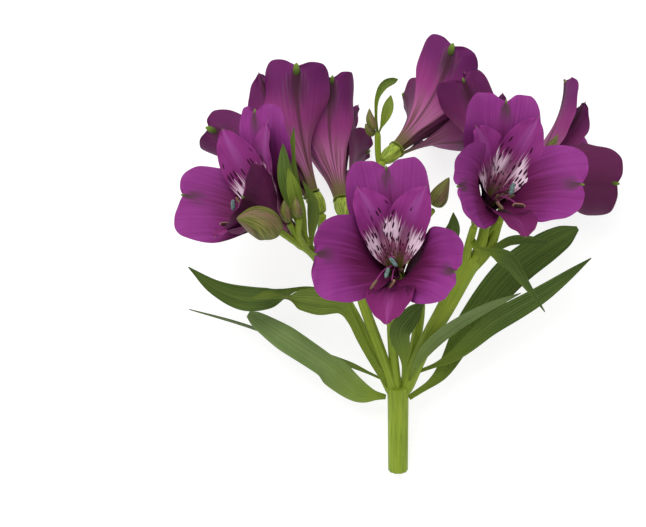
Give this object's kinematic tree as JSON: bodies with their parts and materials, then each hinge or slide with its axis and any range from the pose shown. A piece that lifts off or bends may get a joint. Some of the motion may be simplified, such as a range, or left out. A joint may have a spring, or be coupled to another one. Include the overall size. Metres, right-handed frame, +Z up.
{
  "type": "alstroemeria stem",
  "caption": "Cut alstroemeria stem lying on its back: purple lily-like blooms, buds and long leaves on rays from one short stalk.",
  "frame": {"origin": "on the surface that the stem lies on, under the middle of the whole spray", "axes": "+Y along the stem from its cut end towards the blooms, +Z up from the surface, +X to the right of the spray"},
  "size_m": [0.1903, 0.1885, 0.1078],
  "materials": {
    "tepal": "satin petal, purple with paler streaked inner petals",
    "stamen": "dull",
    "stem": "satin, ribbed",
    "leaf": "satin, fine parallel veins",
    "leaf_back": "matt, greyer underside turned up",
    "bud": "satin"
  },
  "bodies": {
    "root": {"stem": "stem", "bloom_a_tepals": "tepal", "bloom_a_stamens": "stamen", "bloom_b1_tepals": "tepal", "bloom_b1_stamens": "stamen", "bloom_b2_tepals": "tepal", "bloom_b2_stamens": "stamen", "bloom_c_tepals": "tepal", "bloom_c_stamens": "stamen", "bloom_d_tepals": "tepal", "bloom_d_stamens": "stamen", "bloom_e_tepals": "tepal", "bloom_e_stamens": "stamen", "bloom_f_tepals": "tepal", "bloom_f_stamens": "stamen", "bloom_i_tepals": "tepal", "bloom_i_stamens": "stamen", "leaf_lower_left": "leaf_back", "leaf_thin_left": "leaf", "leaf_far_left": "leaf", "leaf_twisted_left": "leaf", "leaf_lower_right": "leaf", "leaf_long_right": "leaf", "leaf_short_right": "leaf_back", "leaf_folded_right": "leaf", "leaf_small_right": "leaf", "leaf_centre": "leaf", "leaf_behind_centre": "leaf", "bract_left_tall": "leaf", "bract_left_broad": "leaf", "bract_left_low": "leaf", "bract_left_long": "leaf", "bract_top_curled": "leaf", "bract_top_light": "leaf", "bud_left_large": "bud", "bud_left_small": "bud", "bud_left_upper": "bud", "bud_top_pale": "bud", "bud_top_dark": "bud", "bud_right": "bud", "bud_far_right": "bud"}
  },
  "joints": []
}
